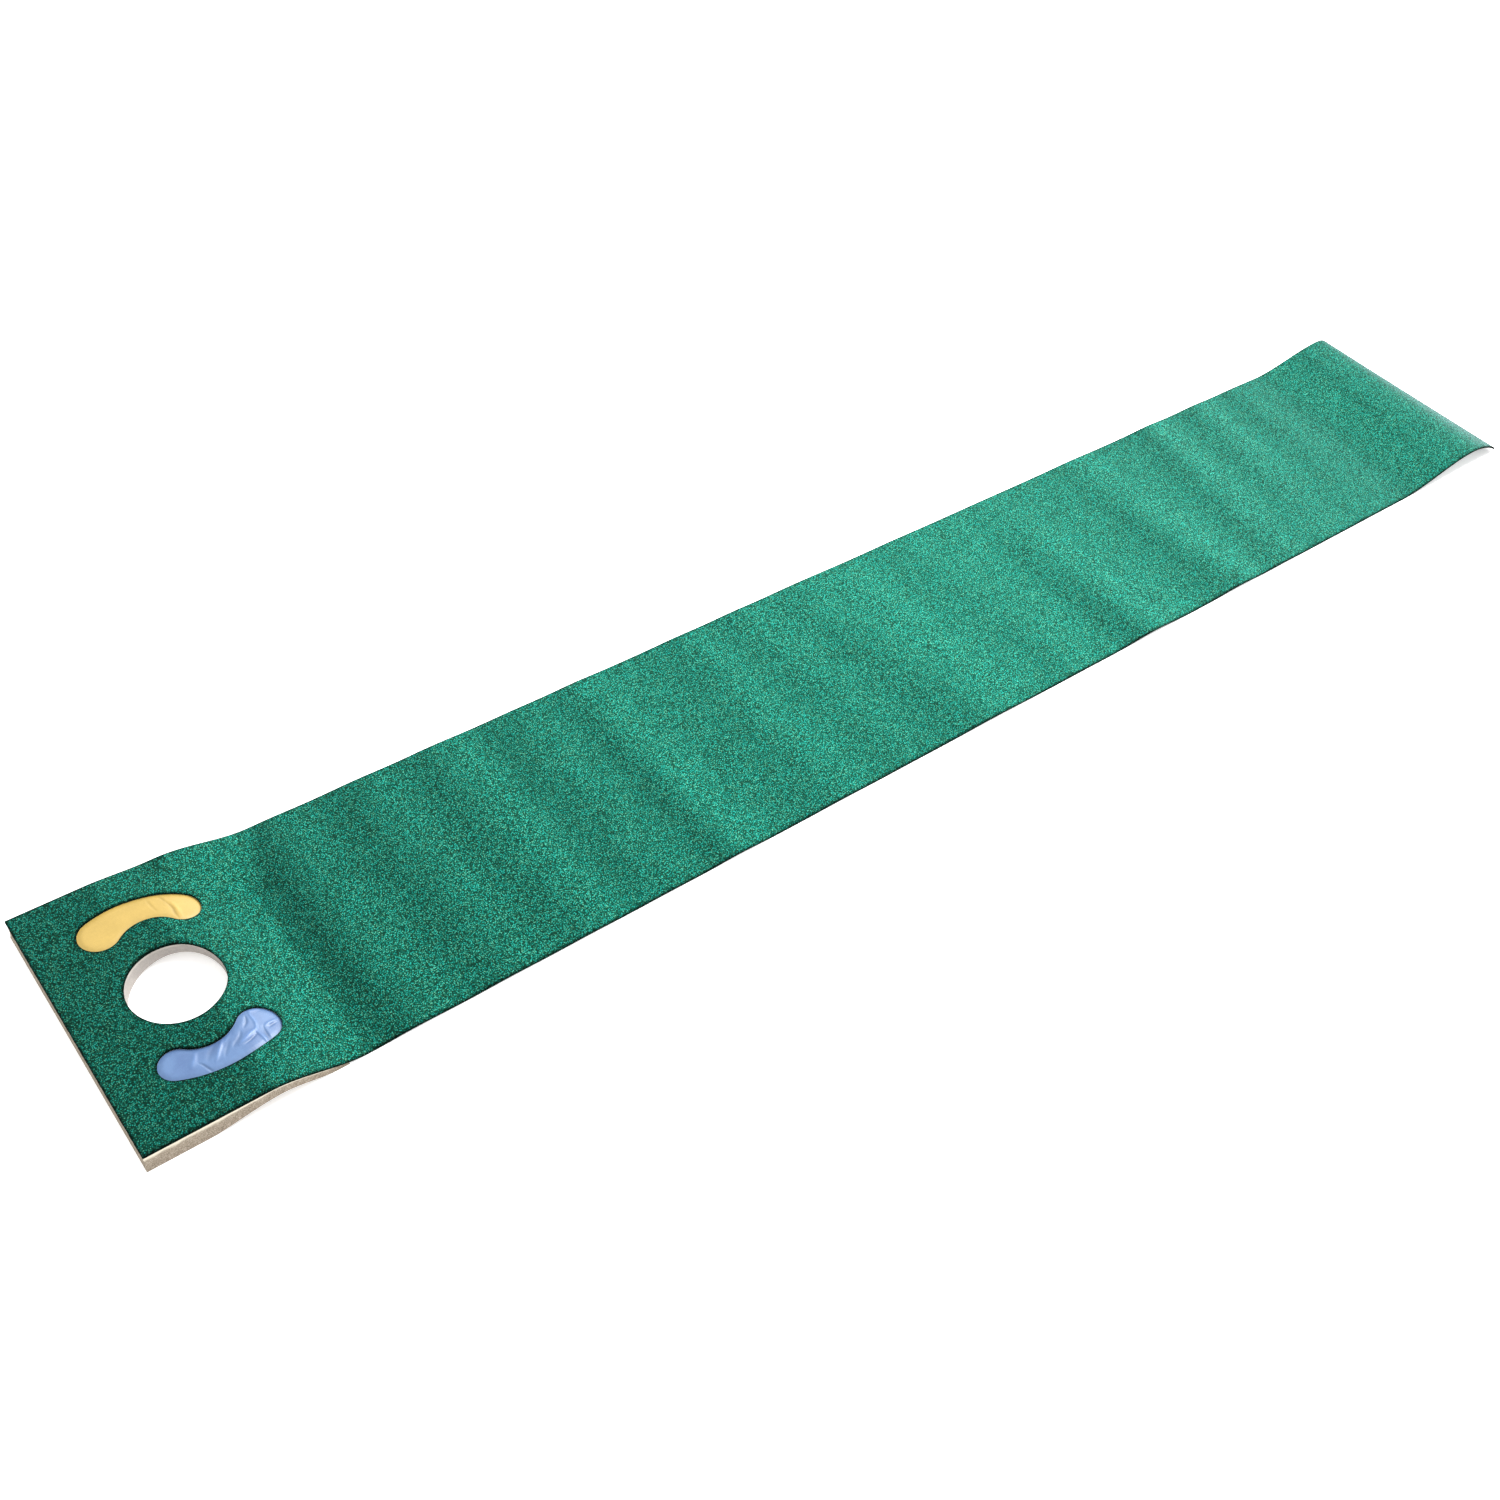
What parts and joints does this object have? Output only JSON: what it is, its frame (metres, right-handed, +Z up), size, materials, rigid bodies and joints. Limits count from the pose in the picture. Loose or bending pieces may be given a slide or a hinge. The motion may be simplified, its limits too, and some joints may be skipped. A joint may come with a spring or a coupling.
{
  "type": "practice putting mat",
  "caption": "Indoor putting mat: a long felt strip over a foam pad with a golf hole, and kidney-shaped sand and water hazard patches showing through windows.",
  "frame": {"origin": "on the floor, under the middle of the mat's length and width", "axes": "+X along the mat from the hole end to the player's end, +Y across it towards the sand patch, +Z up"},
  "size_m": [1.967, 0.3, 0.0255],
  "materials": {
    "green_felt": "matte",
    "beige_foam": "matte",
    "contact_glue": "satin",
    "blue_satin": "satin",
    "yellow_satin": "satin"
  },
  "bodies": {
    "root": {"felt_strip_hole_end": "green_felt", "felt_strip_run": "green_felt", "felt_strip_curl": "green_felt", "foam_pad": "beige_foam", "foam_glue": "contact_glue", "water_patch": "blue_satin", "sand_patch": "yellow_satin", "water_patch_glue": "contact_glue", "sand_patch_glue": "contact_glue"}
  },
  "joints": []
}
